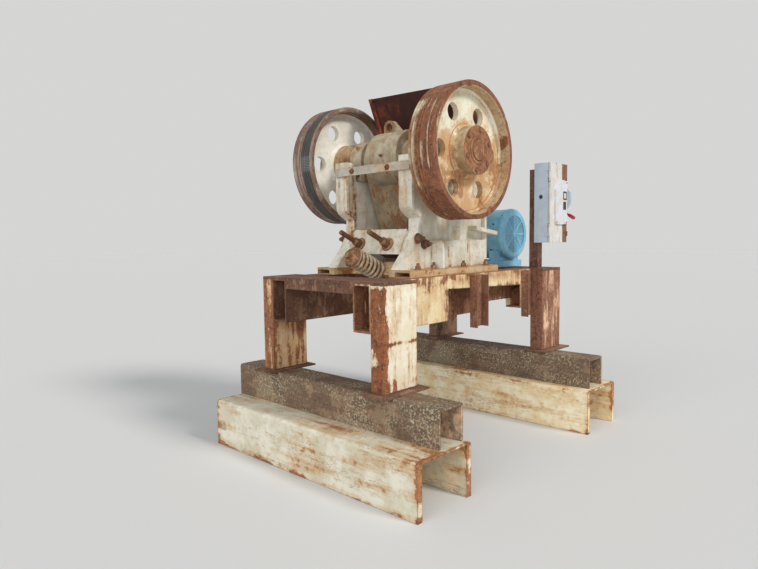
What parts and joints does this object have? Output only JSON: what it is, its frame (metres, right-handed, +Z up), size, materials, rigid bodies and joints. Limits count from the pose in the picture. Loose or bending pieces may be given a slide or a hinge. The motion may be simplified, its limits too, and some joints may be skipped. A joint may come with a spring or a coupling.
{
  "type": "jaw crusher on skid stand",
  "caption": "Jaw crusher with flywheels, feed hopper, belt motor and switch box, on a welded steel stand and channel skids.",
  "frame": {"origin": "middle of the whole outline in plan, on the floor", "axes": "+Z up, +X along the crusher shaft towards the plain flywheel, +Y from the toggle end to the jaw end"},
  "size_m": [1.998, 2.581, 2.62],
  "materials": {
    "skid_pale": "worn pale paint with rust",
    "skid_dark": "weathered dark paint",
    "foot_rust": "rusty plate",
    "leg_brown": "rusty paint",
    "leg_pale": "worn pale paint with rust",
    "beam_brown": "rusty paint",
    "beam_pale": "worn pale paint with rust",
    "crusher_paint": "worn pale paint",
    "casting_paint": "worn pale paint",
    "jaw_steel": "worn casting",
    "bolt_rust": "rusty steel",
    "spring_rust": "worn paint on spring steel",
    "hopper_maroon": "primer with light rust",
    "shaft_steel": "rusty steel",
    "wheel_rust": "rusty rim with worn pale web",
    "belt_black": "matt rubber",
    "motor_blue": "blue enamel",
    "pulley_iron": "cast iron",
    "post_brown": "rusty primer",
    "box_grey": "grey enamel",
    "door_white": "pale grey enamel",
    "handle_red": "red lever"
  },
  "bodies": {
    "frame": {"skid_lower_rear": "skid_pale", "skid_lower_front": "skid_pale", "skid_upper_rear": "skid_dark", "skid_upper_front": "skid_dark", "foot_plates": "foot_rust", "leg_rear_left": "leg_brown", "leg_front_left": "leg_brown", "leg_front_right": "leg_brown", "leg_rear_right": "leg_pale", "side_beam_left": "beam_brown", "cross_beam_rear": "beam_brown", "cross_beam_front": "beam_brown", "drop_channel": "beam_brown", "stub_channel": "beam_brown", "side_beam_right": "beam_pale", "side_frame_left": "crusher_paint", "side_frame_right": "crusher_paint", "toggle_block": "crusher_paint", "rear_bar": "crusher_paint", "crusher_base": "casting_paint", "front_frame": "casting_paint", "pitman": "casting_paint", "bearing_left": "casting_paint", "bearing_right": "casting_paint", "fixed_jaw": "jaw_steel", "swing_jaw": "jaw_steel", "toggle_plate": "jaw_steel", "adjusting_rods": "bolt_rust", "tension_rod": "bolt_rust", "tension_spring": "spring_rust", "hopper": "hopper_maroon", "drive_belt": "belt_black", "motor_body": "motor_blue", "motor_fan_cover": "motor_blue", "motor_base": "motor_blue", "terminal_box": "motor_blue", "motor_pulley": "pulley_iron", "switch_post": "post_brown", "switch_box": "box_grey"},
    "drive_shaft": {"eccentric_shaft": "shaft_steel", "flywheel_left": "wheel_rust", "flywheel_right": "wheel_rust"},
    "door": {"switch_door": "door_white"},
    "handle": {"switch_handle": "handle_red"}
  },
  "joints": [
    {"name": "flywheel_spin", "type": "hinge", "parent": "frame", "child": "drive_shaft", "pos_m": [-0.065, -0.239, 2.099], "axis": [1, 0, 0], "continuous": true},
    {"name": "door_hinge", "type": "hinge", "parent": "frame", "child": "door", "pos_m": [0.59, 0.848, 1.79], "axis": [0, 0, -1], "range_deg": [0, 110]},
    {"name": "handle_turn", "type": "hinge", "parent": "frame", "child": "handle", "pos_m": [0.524, 1.143, 1.745], "axis": [0, -1, 0], "range_deg": [0, 90]}
  ]
}
